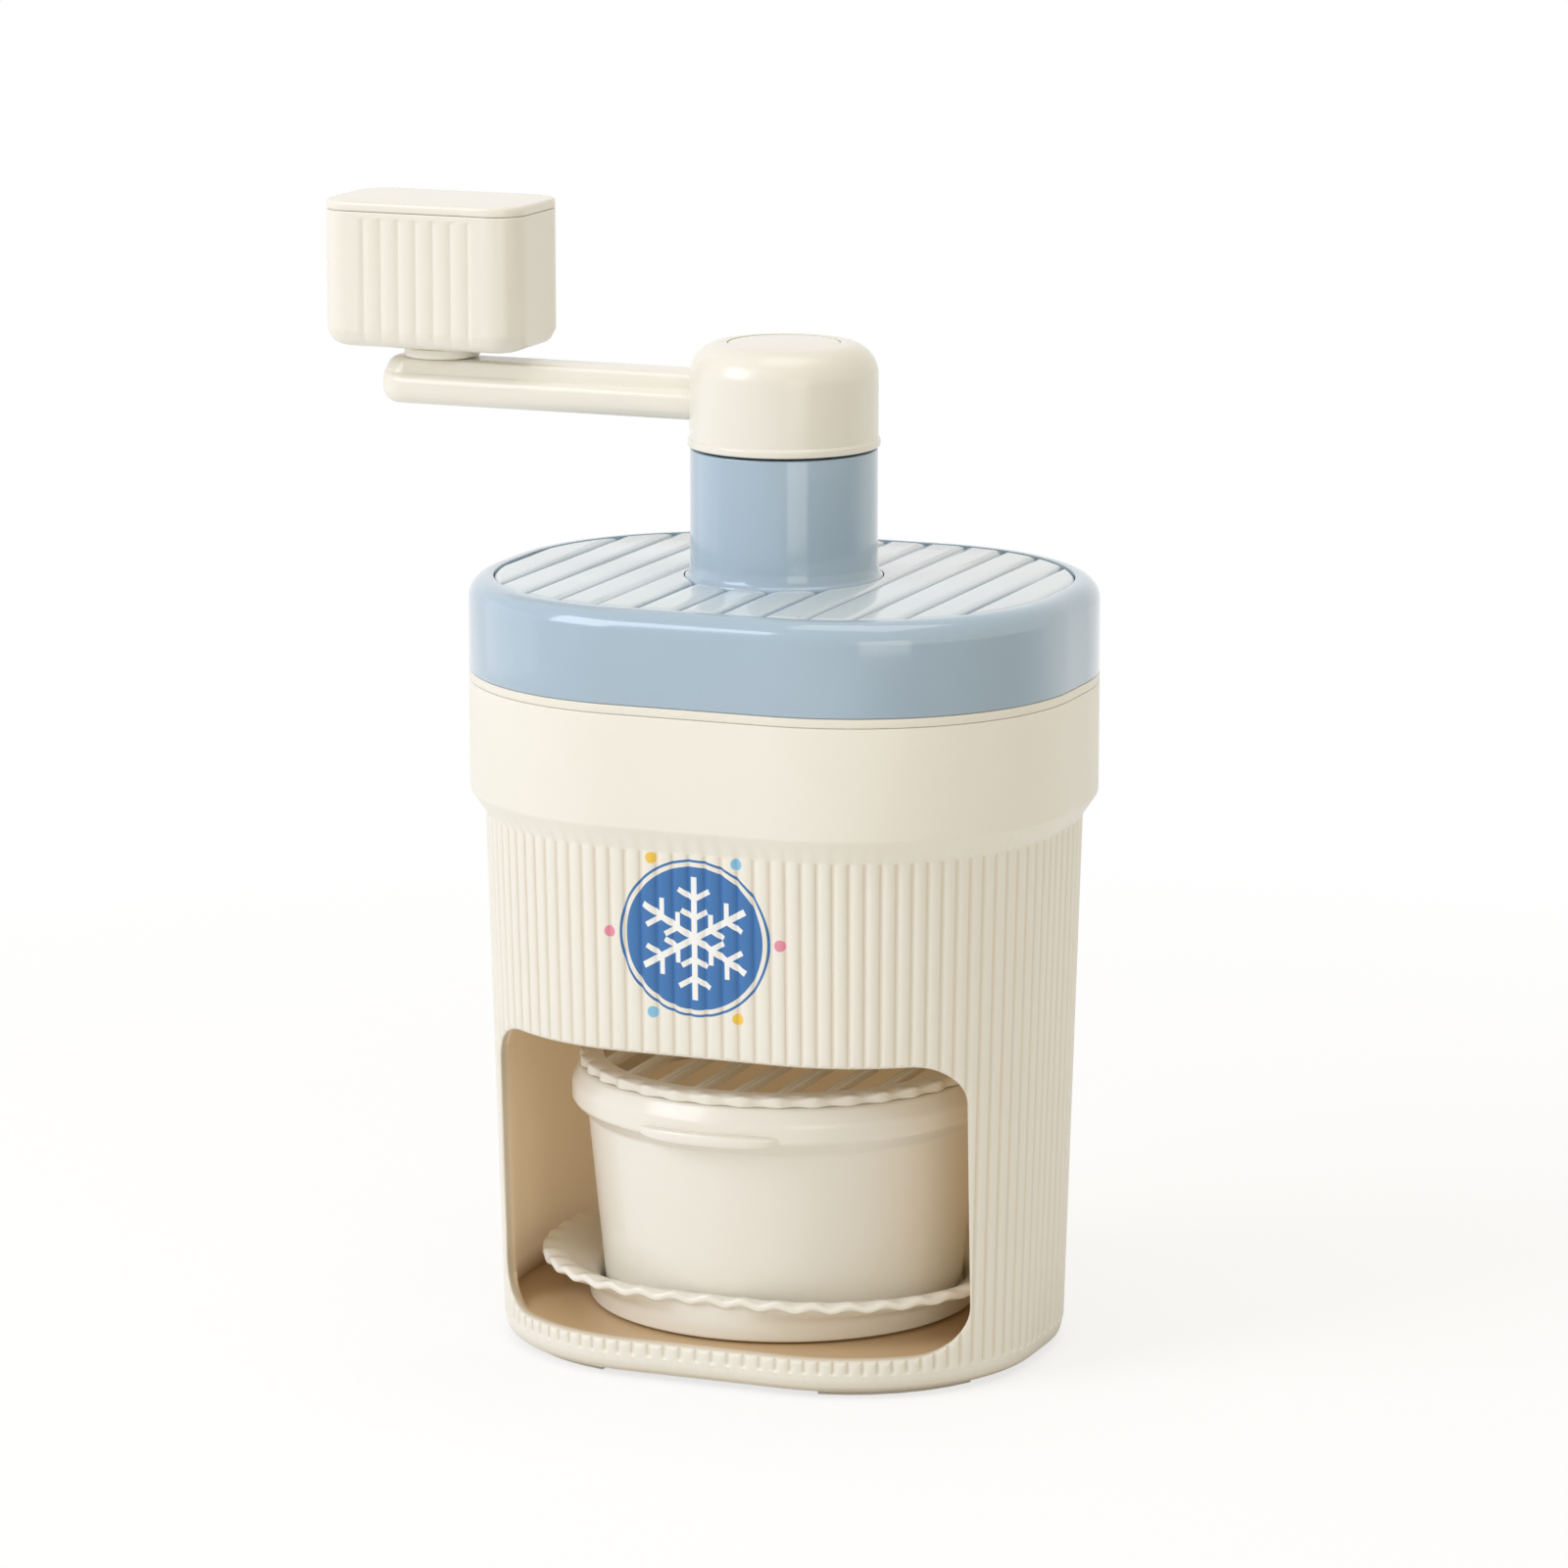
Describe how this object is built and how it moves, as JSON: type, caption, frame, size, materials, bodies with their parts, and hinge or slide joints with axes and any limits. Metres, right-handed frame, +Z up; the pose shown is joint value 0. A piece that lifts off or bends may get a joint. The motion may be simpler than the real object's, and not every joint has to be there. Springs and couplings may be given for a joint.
{
  "type": "hand cranked ice crusher",
  "caption": "Hand cranked ice crusher with a ribbed oval housing, a lift-off lid with a crank and block handle, an ice hopper with a blade, and a cup on a saucer.",
  "frame": {"origin": "on the crank's axis, at the flat underside of the base plate", "axes": "+Z up along the crank's axis, -Y towards the front with the window, -X towards the crank's arm as shown"},
  "size_m": [0.1652, 0.106, 0.238],
  "materials": {
    "housing": "satin gloss, ribbed",
    "base_plate": "satin",
    "foot_front_left": "soft",
    "foot_front_right": "soft",
    "foot_rear_left": "soft",
    "foot_rear_right": "soft",
    "base_screw_1": "turned",
    "base_screw_2": "turned",
    "base_screw_3": "turned",
    "base_screw_4": "turned",
    "ice_hopper": "satin gloss",
    "blade": "ground",
    "blade_screw_1": "turned",
    "blade_screw_2": "turned",
    "lid_cover": "glossy",
    "lid_panel": "glossy, fluted",
    "lid_liner": "satin",
    "liner_screw_1": "turned",
    "liner_screw_2": "turned",
    "liner_screw_3": "turned",
    "lid_seal": "soft",
    "bush_upper": "satin",
    "bush_lower": "satin",
    "crank": "satin gloss",
    "crank_disc": "satin gloss",
    "drive_shaft": "turned",
    "shaft_washer": "turned",
    "shaft_screw": "turned",
    "grip_pin": "turned",
    "grip_clip": "pressed",
    "grip_shell": "satin gloss, fluted",
    "grip_cover": "satin gloss",
    "grip_collar": "satin gloss",
    "presser": "satin",
    "presser_washer": "turned",
    "presser_screw": "turned",
    "presser_spring": "drawn wire",
    "spring_seat": "turned",
    "cup": "satin gloss",
    "strainer": "satin gloss",
    "saucer": "satin gloss"
  },
  "bodies": {
    "housing": {"housing": "housing", "base_plate": "base_plate", "base_screw_1": "base_screw_1", "base_screw_2": "base_screw_2", "base_screw_3": "base_screw_3", "base_screw_4": "base_screw_4", "foot_front_left": "foot_front_left", "foot_front_right": "foot_front_right", "foot_rear_left": "foot_rear_left", "foot_rear_right": "foot_rear_right"},
    "hopper": {"ice_hopper": "ice_hopper", "blade": "blade", "blade_screw_1": "blade_screw_1", "blade_screw_2": "blade_screw_2"},
    "lid": {"lid_cover": "lid_cover", "lid_panel": "lid_panel", "lid_liner": "lid_liner", "liner_screw_1": "liner_screw_1", "liner_screw_2": "liner_screw_2", "liner_screw_3": "liner_screw_3", "lid_seal": "lid_seal", "bush_upper": "bush_upper", "bush_lower": "bush_lower"},
    "crank": {"crank": "crank", "crank_disc": "crank_disc", "drive_shaft": "drive_shaft", "shaft_washer": "shaft_washer", "shaft_screw": "shaft_screw", "grip_pin": "grip_pin", "grip_clip": "grip_clip", "presser_washer": "presser_washer", "presser_screw": "presser_screw", "spring_seat": "spring_seat", "presser_spring": "presser_spring"},
    "grip": {"grip_shell": "grip_shell", "grip_cover": "grip_cover", "grip_collar": "grip_collar"},
    "presser": {"presser": "presser"},
    "saucer": {"saucer": "saucer"},
    "cup": {"cup": "cup"},
    "strainer": {"strainer": "strainer"}
  },
  "joints": [
    {"name": "hopper_lift", "type": "slide", "parent": "housing", "child": "hopper", "axis": [0, 0, 1], "range_m": [0, 0.075]},
    {"name": "lid_lift", "type": "slide", "parent": "hopper", "child": "lid", "axis": [0, 0, 1], "range_m": [0, 0.07]},
    {"name": "crank_spin", "type": "hinge", "parent": "lid", "child": "crank", "pos_m": [0, 0, 0.19], "axis": [0, 0, 1], "continuous": true},
    {"name": "grip_spin", "type": "hinge", "parent": "crank", "child": "grip", "pos_m": [-0.0775, 0, 0.2059], "axis": [0, 0, 1], "continuous": true},
    {"name": "presser_slide", "type": "slide", "parent": "crank", "child": "presser", "axis": [0, 0, 1], "range_m": [0, 0.018], "stiffness_N_per_m": 250, "springref_m": -0.012, "deforming": ["presser_spring"]},
    {"name": "saucer_slide", "type": "slide", "parent": "housing", "child": "saucer", "axis": [0, -1, 0], "range_m": [0, 0.11]},
    {"name": "cup_lift", "type": "slide", "parent": "saucer", "child": "cup", "axis": [0, 0, 1], "range_m": [0, 0.004]},
    {"name": "strainer_lift", "type": "slide", "parent": "cup", "child": "strainer", "axis": [0, 0, 1], "range_m": [0, 0.0035]}
  ]
}
